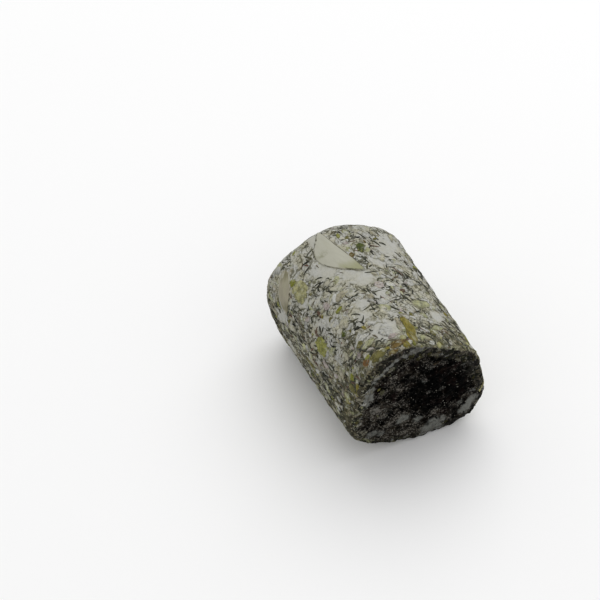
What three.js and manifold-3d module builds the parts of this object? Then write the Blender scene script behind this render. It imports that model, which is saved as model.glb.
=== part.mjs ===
// A short log of rolled Turkish delight: a dark gel core that runs from end to end, inside a pressed
// coat of thin pistachio flakes. Both ends are cut faces, on which the core shows. The rear edge is
// rounded by handling and the front edge is still crisp. Millimetres, +Z up. The log lies along Y with
// its crisp cut face towards -Y, and rests on a small flat at Z = 0.

import * as THREE from "three";
import { mergeVertices } from "three/addons/utils/BufferGeometryUtils.js";
import Module from "manifold-3d";

const wasm = await Module();
wasm.setup();

// The log's driving dimensions
const LENGTH = 37.2;
const REAR_Y = 19.3; // the rear end, which puts the middle of the whole over the origin
const MEAN_RADIUS = 14.8;
const REST_DEPTH = 0.45; // how far the log's own weight flattens its underside
const REAR_ROUND = 4.4;
const FRONT_ROUND = 1.1;
const FACE_LEAN_UP = 0.08; // the front cut leans out by this much for each millimetre of height
const FACE_LEAN_SIDE = 0.09; // and by this much for each millimetre towards +X
const LEAN_HEIGHT = 16; // the height at which that lean is nothing

// The section isn't round: each entry presses `count` low lobes of `height` into it, the first at `at`
// degrees from +X towards +Z. The rear section blends into the front one along the log.
const REAR_LOBES = [
  { count: 2, height: 0.35, at: -25 },
  { count: 3, height: 0.2, at: -20 },
  { count: 4, height: 0.55, at: -44 },
  { count: 5, height: 0.55, at: 18 },
];
const FRONT_LOBES = [
  { count: 2, height: 1.5, at: -63 },
  { count: 3, height: 0.85, at: -22 },
  { count: 4, height: 0.75, at: 32 },
  { count: 5, height: 0.35, at: -32 },
];

// The coat: a little thicker towards the upper right, and with a hump at the upper left, where the
// rolled sheet's last edge overlaps itself
const COAT_MEAN = 1.9;
const COAT_SWING = 0.5;
const COAT_SWING_AT = 60;
const SEAM_HUMP = 2;
const SEAM_AT = 121;
const SEAM_WIDTH = 21; // degrees to each side
const LUMP = 0.14; // the coat's uneven outside, up or down
const BROAD_SHARE = 0.6;
const FINE_SHARE = 0.7;
const CUT_RELIEF = 0.12; // the same on the two cut faces
const SEAT_GAP = 0.3; // clearance between separate pieces

// Pistachio chips that are pressed into the coat
const CHIP_SEED = 20417;
const CHIP_TRIES = 1500;
const CHIP_COUNT = 108;
const CHIP_LONG = [1.7, 3.9];
const CHIP_SLIM = [0.45, 0.8]; // width over length
const CHIP_PROUD = [0.16, 0.36];
const CHIP_SUNK = 0.4;
const CHIP_SPACING = 0.5; // centres stay apart by this share of the two lengths together
const CHIP_TILT = 0.1; // radians
const CHIP_CORNERS = [4.6, 6.4]; // rounded to a whole number
const CHIP_CORNER_SHIFT = [-0.22, 0.22];
const CHIP_CORNER_REACH = [0.8, 1.1];
const CHIP_CLEAR_OF_SLICE = 0.42; // as CHIP_SPACING, from a large slice
const CHIP_REACH = [2.6, 35.0]; // how far along the log their centres lie

// The large slices of nut, each a piece of its own in a shallow pocket: its middle is `around` degrees
// from +X towards +Z and `along` millimetres from the rear end; `turn` swings its length from the
// log's own direction towards a larger angle.
const SLICE_THICK = 0.95;
const SLICE_PROUD = 0.3;
const SLICE_BEVEL = 0.22;
const POCKET_MARGIN = 0.42; // all round a slice, wide enough to keep SEAT_GAP at its pointed ends
const POCKET_OPEN = 2; // how far above its slice a pocket is cut clear
const SLICES = [
  { around: 95, along: 8.7, long: 11, wide: 5.4, turn: -21, colour: 0xb9b7a3 },
  { around: 147, along: 7.4, long: 8.6, wide: 2.9, turn: 32, colour: 0x8d8770 },
  { around: 134.5, along: 11.4, long: 5.2, wide: 2.4, turn: 40, colour: 0xa9a878 },
  { around: 88, along: 31, long: 6.6, wide: 1.9, turn: 12, colour: 0x857a33 },
  { around: 116, along: 34.4, long: 3.8, wide: 2, turn: 84, colour: 0x7a6f30 },
  { around: 101, along: 34.6, long: 2.8, wide: 1.7, turn: 80, colour: 0x80602c },
  { around: 149, along: 23.6, long: 3.9, wide: 2.5, turn: 26, colour: 0x8f9152 },
  { around: 79.5, along: 9.8, long: 2.7, wide: 1.9, turn: 5, colour: 0x4c5420 },
  { around: 63, along: 25.3, long: 4.2, wide: 2.1, turn: -82, colour: 0x9ba06f },
  { around: -29, along: 34.2, long: 3.1, wide: 1.7, turn: 60, colour: 0x99975a },
  { around: 12, along: 13.5, long: 5.6, wide: 2.5, turn: 24, colour: 0xa6a585 },
  { around: 217, along: 20.5, long: 6.4, wide: 2.3, turn: -35, colour: 0x8f9152 },
  { around: -38, along: 20, long: 4.3, wide: 2.2, turn: -15, colour: 0x85803f },
];

// Fineness of the faceted shapes
const AROUND = 64;
const SKIN_STEPS = 20;
const BORE_STEPS = 3;
const COAT_EDGE_STEPS = 3;
const CORE_AROUND = 48;
const CORE_RINGS = 7;
const SLICE_ARC_POINTS = 7;
const PROBE = 0.3; // the skin's slope is measured over this distance each way

const radians = THREE.MathUtils.degToRad;
const mix = THREE.MathUtils.lerp;

function lobeHeight(lobes, angle) {
  return lobes.reduce((sum, l) => sum + l.height * Math.cos(l.count * (angle - radians(l.at))), 0);
}

// The log's section, without the coat's lumps. `share` runs from 0 at the rear to 1 at the front.
function sectionRadius(angle, share) {
  return MEAN_RADIUS + mix(lobeHeight(REAR_LOBES, angle), lobeHeight(FRONT_LOBES, angle), share);
}

// How high the section's centre lies for its lowest point to be pressed REST_DEPTH into the surface.
function restingHeight(share) {
  let lowest = 0;
  for (let degree = 180; degree < 360; degree += 1) {
    const angle = radians(degree);
    lowest = Math.min(lowest, sectionRadius(angle, share) * Math.sin(angle));
  }
  return -lowest - REST_DEPTH;
}
const REAR_HEIGHT = restingHeight(0);
const FRONT_HEIGHT = restingHeight(1);

function coatThickness(angle) {
  const fromSeam = Math.cos(angle - radians(SEAM_AT)) - 1;
  const sharpness = 1 / (1 - Math.cos(radians(SEAM_WIDTH)));
  const hump = SEAM_HUMP * Math.exp(sharpness * fromSeam);
  return COAT_MEAN + COAT_SWING * Math.cos(angle - radians(COAT_SWING_AT)) + hump;
}

function lump(angle, share) {
  const broad = Math.sin(5 * angle + 7 * share) * Math.cos(3 * angle - 11 * share);
  const fine = Math.sin(13 * angle - 19 * share) * Math.sin(9 * angle + 27 * share);
  return LUMP * (BROAD_SHARE * broad + FINE_SHARE * fine);
}

// How far a rounded end falls back at a depth below the skin.
function endInset(round, depth) {
  const left = round - THREE.MathUtils.clamp(depth, 0, round);
  return round - Math.sqrt(round * round - left * left);
}

// The point of the log at an angle, a depth below the plain skin and a share of its length.
function rollPoint(angle, depth, share, lift = 0) {
  const radius = sectionRadius(angle, share) - depth + lift;
  const rear = endInset(REAR_ROUND, depth);
  const front = LENGTH - endInset(FRONT_ROUND, depth);
  const x = radius * Math.cos(angle);
  const z = mix(REAR_HEIGHT, FRONT_HEIGHT, share) + radius * Math.sin(angle);
  const lean = FACE_LEAN_UP * (z - LEAN_HEIGHT) + FACE_LEAN_SIDE * x;
  const rough = CUT_RELIEF * Math.sin(0.9 * x + 0.5) * Math.cos(0.8 * z);
  return new THREE.Vector3(x, REAR_Y - mix(rear, front, share) - share * lean - rough, z);
}

function coatPoint(angle, layer, share) {
  return rollPoint(angle, (1 - layer) * coatThickness(angle), share, layer * lump(angle, share));
}

function corePoint(angle, layer, share) {
  const radius = sectionRadius(angle, share);
  const coreRadius = radius - coatThickness(angle) - SEAT_GAP;
  return rollPoint(angle, radius - layer * coreRadius, share);
}

// The point of the coat's outside at a distance from the rear end, on the rounded rear edge too.
function skinPoint(angle, along) {
  const share = THREE.MathUtils.clamp((along - REAR_ROUND) / (LENGTH - REAR_ROUND - FRONT_ROUND), 0, 1);
  const short = Math.max(REAR_ROUND - along, 0);
  const depth = REAR_ROUND - Math.sqrt(REAR_ROUND * REAR_ROUND - short * short);
  return rollPoint(angle, depth, share, lump(angle, share));
}

// Turns a profile of (layer, share) points about the log's centre line and presses it to shape.
function turned(profile, around, pointOf, innerLayer) {
  const lathe = new THREE.LatheGeometry(profile, around);
  lathe.deleteAttribute("normal");
  lathe.deleteAttribute("uv");
  const geometry = mergeVertices(lathe, 1e-5);
  const place = geometry.getAttribute("position");
  for (let i = 0; i < place.count; i += 1) {
    const layer = Math.hypot(place.getX(i), place.getZ(i)) - innerLayer;
    const angle = Math.atan2(place.getX(i), place.getZ(i));
    const point = pointOf(angle, layer, place.getY(i));
    place.setXYZ(i, point.x, point.y, point.z);
  }
  return geometry;
}

function solid(geometry) {
  const bare = geometry.clone();
  bare.deleteAttribute("normal");
  bare.deleteAttribute("uv");
  const merged = mergeVertices(bare, 1e-5);
  const mesh = new wasm.Mesh({
    numProp: 3,
    vertProperties: merged.getAttribute("position").array,
    triVerts: new Uint32Array(merged.index.array),
  });
  return new wasm.Manifold(mesh);
}

function geometryOf(manifold) {
  const { vertProperties, triVerts } = manifold.getMesh();
  return new THREE.BufferGeometry()
    .setAttribute("position", new THREE.BufferAttribute(vertProperties, 3))
    .setIndex(new THREE.BufferAttribute(triVerts, 1));
}

// The straight steps from one profile point to the next, without the last of them.
function steps(from, to, count, ease = (t) => t) {
  return Array.from({ length: count }, (_, i) => {
    const t = ease(i / count);
    return new THREE.Vector2(mix(from[0], to[0], t), mix(from[1], to[1], t));
  });
}

// The sleeve's profile goes up its outside, in over one end, down its bore and out over the other.
function sleeveGeometry() {
  const nearSkin = (t) => t * t;
  const nearSkinLast = (t) => 1 - (1 - t) * (1 - t);
  const profile = [
    ...steps([2, 0], [2, 1], SKIN_STEPS),
    ...steps([2, 1], [1, 1], COAT_EDGE_STEPS, nearSkin),
    ...steps([1, 1], [1, 0], BORE_STEPS),
    ...steps([1, 0], [2, 0], COAT_EDGE_STEPS, nearSkinLast),
    new THREE.Vector2(2, 0),
  ];
  return turned(profile, AROUND, coatPoint, 1);
}

function coreGeometry() {
  const profile = [
    ...steps([0, 0], [1, 0], CORE_RINGS),
    ...steps([1, 0], [1, 1], BORE_STEPS),
    ...steps([1, 1], [0, 1], CORE_RINGS),
    new THREE.Vector2(0, 1),
  ];
  return turned(profile, CORE_AROUND, corePoint, 0);
}

// A frame on the coat's outside: its third axis points out, its second towards the front end, and its
// first towards a larger angle, all swung by `turn`.
function seat(angle, along, turn, lift) {
  const here = skinPoint(angle, along);
  const ahead = skinPoint(angle, along + PROBE).sub(skinPoint(angle, along - PROBE)).normalize();
  const aside = PROBE / MEAN_RADIUS;
  const across = skinPoint(angle + aside, along).sub(skinPoint(angle - aside, along)).normalize();
  const out = new THREE.Vector3().crossVectors(across, ahead).normalize();
  const first = new THREE.Vector3().crossVectors(ahead, out);
  const frame = new THREE.Matrix4().makeBasis(first, ahead, out);
  frame.multiply(new THREE.Matrix4().makeRotationZ(-turn));
  frame.setPosition(here.addScaledVector(out, lift));
  return frame;
}

// An almond-shaped outline, pointed at both ends, grown outwards by `grow`.
function almond(long, wide, grow) {
  const half = long / 2 + grow;
  const bulge = wide + 2 * grow;
  const outline = new THREE.Shape();
  outline.moveTo(0, -half);
  outline.bezierCurveTo(bulge * 0.62, -half * 0.55, bulge * 0.62, half * 0.45, 0, half);
  outline.bezierCurveTo(-bulge * 0.7, half * 0.4, -bulge * 0.7, -half * 0.6, 0, -half);
  return outline;
}

function sliceFrame({ around, along, turn }) {
  return seat(radians(around), along, radians(turn), SLICE_PROUD - SLICE_THICK);
}

function sliceGeometry(slice) {
  const bevelled = {
    depth: SLICE_THICK - SLICE_BEVEL,
    bevelEnabled: true,
    bevelThickness: SLICE_BEVEL / 2,
    bevelSize: SLICE_BEVEL,
    bevelOffset: -SLICE_BEVEL,
    bevelSegments: 1,
    curveSegments: SLICE_ARC_POINTS,
  };
  const plate = new THREE.ExtrudeGeometry(almond(slice.long, slice.wide, 0), bevelled);
  return plate.translate(0, 0, SLICE_BEVEL / 2).applyMatrix4(sliceFrame(slice));
}

// The pocket leaves SEAT_GAP under and around its slice, and is open above it.
function pocketGeometry(slice) {
  const cut = {
    depth: SLICE_THICK + SEAT_GAP + POCKET_OPEN,
    bevelEnabled: false,
    curveSegments: SLICE_ARC_POINTS,
  };
  const tool = new THREE.ExtrudeGeometry(almond(slice.long, slice.wide, POCKET_MARGIN), cut);
  return tool.translate(0, 0, -SEAT_GAP).applyMatrix4(sliceFrame(slice));
}

// A repeatable random number in a range, by the Lehmer rule.
let draw = CHIP_SEED;
function random([low, high]) {
  draw = (draw * 48271) % 2147483647;
  return mix(low, high, draw / 2147483647);
}

function clearOfSlices(chip) {
  return SLICES.every((slice) => {
    const between = Math.abs(chip.angle - radians(slice.around));
    const sideways = Math.min(between, 2 * Math.PI - between) * MEAN_RADIUS;
    const gap = Math.hypot(sideways, chip.along - slice.along);
    return gap > (slice.long + chip.long) * CHIP_CLEAR_OF_SLICE;
  });
}

// Chips are drawn one by one, and kept where they have room.
function scatterChips() {
  const chips = [];
  for (let i = 0; i < CHIP_TRIES && chips.length < CHIP_COUNT; i += 1) {
    const chip = {
      angle: random([-Math.PI / 2, 1.5 * Math.PI]),
      along: random(CHIP_REACH),
      long: random(CHIP_LONG),
      slim: random(CHIP_SLIM),
      turn: random([0, Math.PI]),
      proud: random(CHIP_PROUD),
      tilt: random([-CHIP_TILT, CHIP_TILT]),
    };
    const roomy = chips.every((other) => {
      const between = Math.abs(chip.angle - other.angle);
      const sideways = Math.min(between, 2 * Math.PI - between) * MEAN_RADIUS;
      const gap = Math.hypot(sideways, chip.along - other.along);
      return gap > (chip.long + other.long) * CHIP_SPACING;
    });
    if (roomy && clearOfSlices(chip)) chips.push(chip);
  }
  return chips;
}

// A chip is a flat many-sided scrap of nut.
function chipGeometry({ angle, along, long, slim, turn, proud, tilt }) {
  const corners = Math.round(random(CHIP_CORNERS));
  const outline = new THREE.Shape();
  for (let i = 0; i < corners; i += 1) {
    const swing = ((i + random(CHIP_CORNER_SHIFT)) / corners) * 2 * Math.PI;
    const reach = (random(CHIP_CORNER_REACH) * long) / 2;
    const x = reach * slim * Math.cos(swing);
    const y = reach * Math.sin(swing);
    if (i === 0) outline.moveTo(x, y);
    else outline.lineTo(x, y);
  }
  const scrap = new THREE.ExtrudeGeometry(outline, { depth: CHIP_SUNK + proud, bevelEnabled: false });
  return scrap.rotateX(tilt).applyMatrix4(seat(angle, along, turn, -CHIP_SUNK));
}

// The coat is the sleeve with its chips, less the pockets and what the resting flat takes off.
function coatGeometry() {
  const chips = scatterChips().map((chip) => solid(chipGeometry(chip)));
  const floor = new THREE.BoxGeometry(3 * LENGTH, 3 * LENGTH, LENGTH).translate(0, 0, -LENGTH / 2);
  let coat = solid(sleeveGeometry()).add(wasm.Manifold.union(chips));
  for (const slice of SLICES) coat = coat.subtract(solid(pocketGeometry(slice)));
  return geometryOf(coat.subtract(solid(floor)));
}

function finish(colour, roughness) {
  return new THREE.MeshStandardMaterial({ color: colour, roughness, metalness: 0 });
}

function piece(name, geometry, material) {
  const mesh = new THREE.Mesh(geometry, material);
  mesh.name = name;
  return mesh;
}

const group = new THREE.Group();
group.add(piece("core", coreGeometry(), finish(0x17130f, 0.55)));
group.add(piece("coat", coatGeometry(), finish(0x9c9a88, 0.9)));
SLICES.forEach((slice, i) => {
  group.add(piece(`pistachio_slice_${i + 1}`, sliceGeometry(slice), finish(slice.colour, 0.7)));
});

export default group;
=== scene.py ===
# A piece of rolled Turkish delight: a near-black gel core inside a coat of thin pistachio flakes, which
# are pressed together, dusted with starch and crossed by slivers of dark nut skin. The log lies along Y
# with its crisp cut face towards -Y. Lengths are in millimetres up to the moment a mesh is made.

import math

import bmesh
import bpy
import numpy as np
from mathutils import Matrix, Vector, noise


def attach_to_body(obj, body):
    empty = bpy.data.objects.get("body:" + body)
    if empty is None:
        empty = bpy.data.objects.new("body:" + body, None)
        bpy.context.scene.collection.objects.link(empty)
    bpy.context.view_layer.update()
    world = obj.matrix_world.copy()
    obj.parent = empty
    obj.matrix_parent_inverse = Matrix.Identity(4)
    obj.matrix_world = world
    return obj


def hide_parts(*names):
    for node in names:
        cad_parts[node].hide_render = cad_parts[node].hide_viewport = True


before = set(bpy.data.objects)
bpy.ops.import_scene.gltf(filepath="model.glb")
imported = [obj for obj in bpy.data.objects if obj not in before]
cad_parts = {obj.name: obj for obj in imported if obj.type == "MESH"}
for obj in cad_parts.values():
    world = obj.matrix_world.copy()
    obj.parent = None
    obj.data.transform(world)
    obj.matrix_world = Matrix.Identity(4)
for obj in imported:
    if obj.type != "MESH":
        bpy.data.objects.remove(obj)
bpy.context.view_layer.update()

MM = 0.001

# The log's shape, as in the solids
LENGTH = 37.2
REAR_Y = 19.3
MEAN_RADIUS = 14.8
REST_DEPTH = 0.45
REAR_ROUND = 4.4
FRONT_ROUND = 1.1
SKIN_LENGTH = LENGTH - REAR_ROUND - FRONT_ROUND
FACE_LEAN_UP = 0.08
FACE_LEAN_SIDE = 0.09
LEAN_HEIGHT = 16
REAR_LOBES = ((2, 0.35, -25), (3, 0.2, -20), (4, 0.55, -44), (5, 0.55, 18))  # count, height, degrees
FRONT_LOBES = ((2, 1.5, -63), (3, 0.85, -22), (4, 0.75, 32), (5, 0.35, -32))
COAT_MEAN = 1.9
COAT_SWING = 0.5
COAT_SWING_AT = 60
SEAM_HUMP = 2.0
SEAM_AT = 121
SEAM_WIDTH = 21
LUMP = 0.14
CUT_RELIEF = 0.12
PROBE = 0.3
FRONT_BREAK = 0.15  # how deep below the skin the cut faces begin
REAR_BREAK = 2.0
FRONT_EASE = 0.5  # over how much more depth their roughness sets in
REAR_EASE = 1.4
FRONT_EDGE = 0.4  # how deep below the skin the coat's dusted ground gives way to pressed crumbs
REAR_EDGE = 2.7
TORN = ((2.4, 0.24, 4), (1.0, 0.3, 5), (0.45, 0.1, 6))  # the cut faces' relief: size, depth, seed
SKIN_RELIEF = ((0.8, 0.06, 1), (2.6, 0.1, 2))

NICK_AT = 16
NICK_DEPTH = 0.85
NICK_WIDTH = 0.55
NICK_REACH = 2.2

SKIN_SUNK = 0.05  # the coat's ground lies this far below the outline that its flakes give it

# Places on the coat are given as degrees round the log (90 at the top, 180 on the left as seen from the
# cut face) and millimetres from the rear end.

SHADE_ACROSS_FROM = 28  # the coat is painted darker and more olive low down across from here, as painted shade
CLEAN_AT = 172  # the coat's cut edge is freest of dark gel here

# The large slices of nut: place, length, width, turn in degrees, how far the belly lies to one side (1 is
# all of it), how sharp the end towards the cut and the other end are (0.5 is blunt, 2 pointed), kind
SLICES = (
    (94, 8.3, 14.2, 4.8, -11.6, 1.0, 1.1, 2.4, "pale"),
    (148.5, 7.7, 8.5, 3.0, 44, -0.2, 0.45, 0.5, "husk"),
    (136.5, 11.2, 5.0, 3.4, 6, 0, 0.6, 0.8, "lime"),
    (90.3, 32.2, 8.3, 1.8, 10, 0.1, 0.9, 1.2, "mustard"),
    (116.5, 35.4, 3.5, 1.8, 80, -0.3, 0.7, 0.9, "olive"),
    (103.5, 35.5, 3.1, 1.5, 84, 0.2, 0.7, 0.6, "amber"),
    (150.5, 23.4, 4.0, 3.6, 5, -0.1, 0.5, 0.5, "green"),
    (79, 9.3, 3.3, 1.6, 32, 0, 0.7, 1.2, "moss"),
    (62, 25.6, 4.8, 1.9, 88, 0.2, 0.5, 0.5, "sage"),
    (-28, 34.3, 3.3, 1.7, 62, 0, 0.6, 0.6, "chip"),
    (12, 13.5, 5.6, 2.5, 24, -0.2, 1.0, 0.8, "pale"),
    (217, 20.5, 6.4, 2.3, -35, 0.2, 1.1, 0.8, "sage"),
    (-38, 20, 4.3, 2.2, -15, 0, 0.9, 0.7, "mustard"),
)

# Smaller flakes that stand out: place, length, width, turn in degrees, kind
MARKS = (
    (137, 8.4, 1.9, 1.5, 20, "bright"), (120.5, 21.5, 1.5, 1.1, 60, "bright"),
    (127, 26.4, 1.5, 1.3, 0, "moss"), (60, 7, 1.7, 0.8, 70, "olive"), (99, 36.1, 2.0, 1.3, 15, "mustard"),
    (34, 33.3, 2.4, 1.3, 0, "green"), (126, 35.2, 1.8, 1.3, 10, "rust"),
    (142.5, 33.6, 2.2, 1.7, 15, "bright"), (152, 34.9, 3.2, 2.1, 0, "olive"),
    (118.5, 32.3, 3.2, 1.2, 75, "sage"), (64, 31.7, 3.0, 1.4, 80, "sage"), (-178, 28, 2.2, 1.1, 5, "sage"),
    (134, 18.7, 2.6, 0.7, 0, "skin"), (70.5, 21.7, 1.6, 1.1, 60, "skin"),
    (113.5, 19.1, 2.8, 1.6, 70, "husk"), (98.5, 22.6, 2.1, 1.7, 0, "husk"),
    (178, 21.2, 4.2, 1.1, 8, "olive"), (-170.5, 21.8, 2.0, 1.2, 5, "moss"),
    (90.5, 11, 1.6, 1.0, 40, "amber"), (72, 7.6, 1.0, 0.7, 0, "amber"),
    (145, 35.9, 2.0, 1.2, 80, "mustard"), (94.8, 31.2, 4.8, 0.9, 12, "husk"),
    (122.5, 24.7, 2.5, 2.1, 0, "cream"), (122, 31.1, 1.9, 1.4, 30, "olive"),
    (64, 13.9, 2.6, 1.9, 0, "powder"), (92, 24.4, 2.8, 1.9, 70, "powder"),
    (104.5, 31.2, 3.4, 2.2, 10, "powder"), (-21.5, 36.2, 3.3, 1.6, 84, "chip"),
    (109, 36.6, 2.0, 0.9, 86, "amber"), (171, 22.8, 2.8, 0.5, 5, "skin"),
    (114, 35.2, 1.2, 0.8, 60, "cream"), (119, 36.2, 1.3, 0.8, 70, "mustard"),
    (111, 35.4, 1.4, 0.9, 75, "mustard"), (98.5, 34.4, 1.5, 1.0, 10, "lime"),
    (86, 34.9, 1.6, 1.0, 30, "sage"), (135, 21.1, 3.2, 1.2, 5, "powder"), (126, 18.6, 2.6, 1.2, 0, "blush"),
    (160, 26, 2.2, 1.4, 20, "blush"), (103, 33.2, 1.7, 1.2, 80, "blush"), (84, 6.2, 1.6, 0.9, 60, "olive"),
    (89, 5.2, 1.3, 0.8, 20, "green"), (152, 31, 2.6, 1.2, 20, "husk"), (164, 34.3, 2.4, 1.1, 5, "sage"),
    (80, 28.5, 1.6, 0.9, 20, "olive"), (25, 24, 2.2, 1.4, 30, "husk"), (5, 29, 2.8, 1.2, 10, "green"),
    (35, 14, 1.7, 1.2, 70, "bright"), (-20, 8, 2.8, 1.6, 50, "olive"), (-5, 21, 2.4, 1.3, 80, "blush"),
    (-48, 11, 3.2, 1.4, 20, "green"), (-65, 26, 2.6, 1.5, 60, "husk"), (205, 9, 2.4, 1.5, 30, "bright"),
    (228, 30, 3.2, 1.3, 15, "mustard"), (245, 13, 2.8, 1.6, 70, "olive"), (195, 31, 2.2, 1.1, 10, "husk"),
    (-90, 19, 3.0, 1.6, 35, "sage"), (40, 6, 2.2, 1.4, 15, "cream"), (15, 35, 2.4, 1.1, 80, "olive"),
    (190, 4, 2.2, 1.3, 60, "olive"),
)

# Bits that stand out on the crisp cut face: x, z, length, width, turn in degrees, kind
CUT_MARKS = (
    (-7.6, 20.1, 1.3, 1.0, 20, "dark_olive"), (-8.1, 20.9, 0.8, 0.6, 60, "olive"),
    (3.1, 23.8, 1.8, 0.9, 62, "umber"), (13.5, 10.3, 2.8, 1.1, 21, "rim"),
    (13.9, 11.2, 1.4, 0.9, 14, "rim"), (-1.6, 21.9, 0.7, 0.4, 80, "ash"), (1.0, 19.3, 0.8, 0.5, 75, "ash"),
    (4.8, 14.5, 0.9, 0.4, 85, "ash"), (1.8, 14.9, 0.6, 0.5, 70, "ash"), (2.4, 22.8, 0.9, 0.5, 70, "ash"),
    (-3.0, 13.4, 0.7, 0.5, 80, "ash"),
)

# Smooth drifts of starch on the coat: place, radius
DRIFTS = (
    (47, 8, 3.0), (55, 10.5, 2.6), (92, 17.3, 2.0), (116, 10.8, 1.7), (112, 12.6, 1.8), (100, 15.6, 1.8),
    (92, 22.4, 1.5), (104.5, 31.2, 2.6), (136, 21.2, 1.7), (110, 26.3, 1.3), (168, 9.5, 1.7),
    (55, 28.5, 1.5), (139, 13.8, 1.2), (106, 23.2, 1.2), (95.8, 18.2, 1.5), (92, 34, 1.0), (106, 4.6, 1.4),
    (64, 14, 1.6), (75, 13.5, 1.5), (20, 22, 2.6), (-10, 8, 2.4), (200, 12, 2.4), (232, 22, 2.2),
    (-45, 27, 2.2), (255, 9, 2.6), (2, 31, 1.8),
)

# Thickets of dark slivers: place, radius
THICKETS = (
    (71, 9.9, 2.0), (66, 11.5, 1.4), (81, 4.6, 2.2), (90, 5.6, 1.8), (48, 19.1, 1.4), (67, 21, 1.8),
    (-180, 31, 2.4), (78, 32.2, 1.5), (114, 28, 1.6), (163, 13.1, 1.6), (94, 19.9, 1.4), (132, 23.4, 1.5),
    (120, 16, 1.4), (172, 16, 2.0), (176, 27, 1.8), (30, 29, 2.0), (-25, 15, 2.2), (215, 33, 2.4),
    (-70, 8, 2.4),
)

# Starch smeared on the crisp cut face: x, z, radius and depth of each smear
SMEARS = (
    (3.0, 29.3, 1.1, 0.36), (1.2, 29.9, 1.0, 0.42), (-0.6, 29.9, 0.9, 0.46), (-2.1, 29.7, 0.8, 0.52),
    (-3.6, 29.3, 0.7, 0.55), (-5.1, 28.6, 0.6, 0.62), (-6.1, 27.7, 0.6, 0.7), (-7.2, 26.9, 0.6, 0.8),
    (-8.1, 25.9, 0.6, 0.85), (-8.8, 24.9, 0.6, 0.8), (-9.3, 23.5, 0.6, 0.75), (-9.7, 21.9, 0.7, 0.85),
    (-10.1, 20.4, 0.8, 0.95), (-10.3, 19.1, 0.8, 0.95), (-10.5, 17.4, 0.8, 0.6), (10.5, 5.4, 1.1, 0.72),
    (11.3, 6.7, 1.0, 0.74), (10.2, 4.0, 0.8, 0.6), (12.0, 7.8, 0.9, 0.62), (8.8, 7.9, 0.8, 0.4),
    (9.6, 4.6, 0.9, 0.5), (2.9, 2.0, 1.6, 0.62), (1.9, 0.9, 1.3, 0.6), (5.0, 1.8, 1.4, 0.6),
    (3.8, 3.9, 1.4, 0.55), (0.4, 7.0, 1.0, 0.5), (5.5, 4.1, 1.0, 0.5), (-2.7, 8.6, 1.3, 0.55),
    (-3.3, 7.8, 0.9, 0.5), (-8.9, 6.8, 1.2, 0.5), (-7.2, 6.2, 1.0, 0.45), (-6.6, 12.6, 2.0, 0.25),
    (-8.8, 14.6, 1.4, 0.3), (-5.1, 14.7, 1.2, 0.25), (2.5, 22.7, 0.9, 0.34), (1.0, 19.2, 0.7, 0.34),
    (-1.5, 21.8, 0.7, 0.32), (4.7, 14.5, 0.7, 0.3), (1.9, 14.9, 0.6, 0.34), (11.2, 15.5, 1.0, 0.25),
    (9.2, 20.0, 1.2, 0.28),
)

# Places on the crisp cut face, x and z
BLACKEST = (4.8, 15.6)  # the freest of fine dust
GRAINLESS = (4.5, 17)  # the freest of loose grains


def srgb(red, green, blue):
    """A colour as seen on a screen, from 0 to 255, in the renderer's linear values."""
    shares = (red / 255, green / 255, blue / 255)
    return tuple(((c + 0.055) / 1.055) ** 2.4 if c > 0.04 else c / 12.92 for c in shares)


POWDER = srgb(171, 171, 165)
CREAM = srgb(164, 161, 143)
SMEAR = srgb(117, 118, 113)
# dark of nut skin, deepened as painted shade: in the coat's creases and along the rims of flakes and green
# slices
CREVICE_SKIN_AND_SHADE = srgb(50, 51, 37)
CREVICE_OLIVE = srgb(82, 77, 44)
TINTS = {
    "powder": POWDER, "cream": CREAM, "pale": srgb(166, 165, 151), "blush": srgb(156, 146, 142),
    "husk": srgb(149, 144, 126), "sage": srgb(146, 147, 114), "lime": srgb(143, 141, 102),
    "olive": srgb(98, 94, 54), "green": srgb(124, 125, 64), "bright": srgb(114, 117, 46),
    "moss": srgb(66, 74, 28), "mustard": srgb(114, 105, 44), "amber": srgb(92, 76, 40),
    "chip": srgb(134, 131, 92), "rust": srgb(100, 72, 42), "skin": srgb(84, 66, 56),
    "dark": srgb(52, 54, 43), "dark_olive": srgb(72, 71, 54), "black": srgb(30, 31, 26),
    "brown": srgb(84, 76, 58), "red": srgb(92, 68, 56), "umber": srgb(56, 48, 36), "ash": srgb(84, 80, 76),
    "rim": srgb(158, 152, 108),
}


# ---- the log's form

def lobes(entries, angle):
    return sum(height * np.cos(count * (angle - math.radians(at))) for count, height, at in entries)


def section_radius(angle, share):
    rear = lobes(REAR_LOBES, angle)
    return MEAN_RADIUS + rear + (lobes(FRONT_LOBES, angle) - rear) * share


def resting_height(share):
    angle = np.radians(np.arange(180, 360))
    return -np.min(section_radius(angle, share) * np.sin(angle)) - REST_DEPTH


REAR_HEIGHT = resting_height(0)
FRONT_HEIGHT = resting_height(1)


def axis_height(share):
    return REAR_HEIGHT + (FRONT_HEIGHT - REAR_HEIGHT) * share


def coat_thickness(angle):
    sharpness = 1 / (1 - math.cos(math.radians(SEAM_WIDTH)))
    hump = SEAM_HUMP * np.exp(sharpness * (np.cos(angle - math.radians(SEAM_AT)) - 1))
    return COAT_MEAN + COAT_SWING * np.cos(angle - math.radians(COAT_SWING_AT)) + hump


def lump(angle, share):
    broad = np.sin(5 * angle + 7 * share) * np.cos(3 * angle - 11 * share)
    fine = np.sin(13 * angle - 19 * share) * np.sin(9 * angle + 27 * share)
    return LUMP * (0.6 * broad + 0.7 * fine)


def past(angle, degrees):
    """How far angles lie past a number of degrees, the short way round."""
    return (angle - math.radians(degrees) + math.pi) % (2 * math.pi) - math.pi


def nick(angle, depth, share):
    """A small nick in the rim of the crisp cut face."""
    aside = past(angle, NICK_AT) * MEAN_RADIUS / NICK_WIDTH
    back = (1 - share) * SKIN_LENGTH / NICK_REACH
    return NICK_DEPTH * np.exp(-(aside**2)) * np.clip(1 - back, 0, 1) * np.clip(1 - depth / NICK_REACH, 0, 1)


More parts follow.
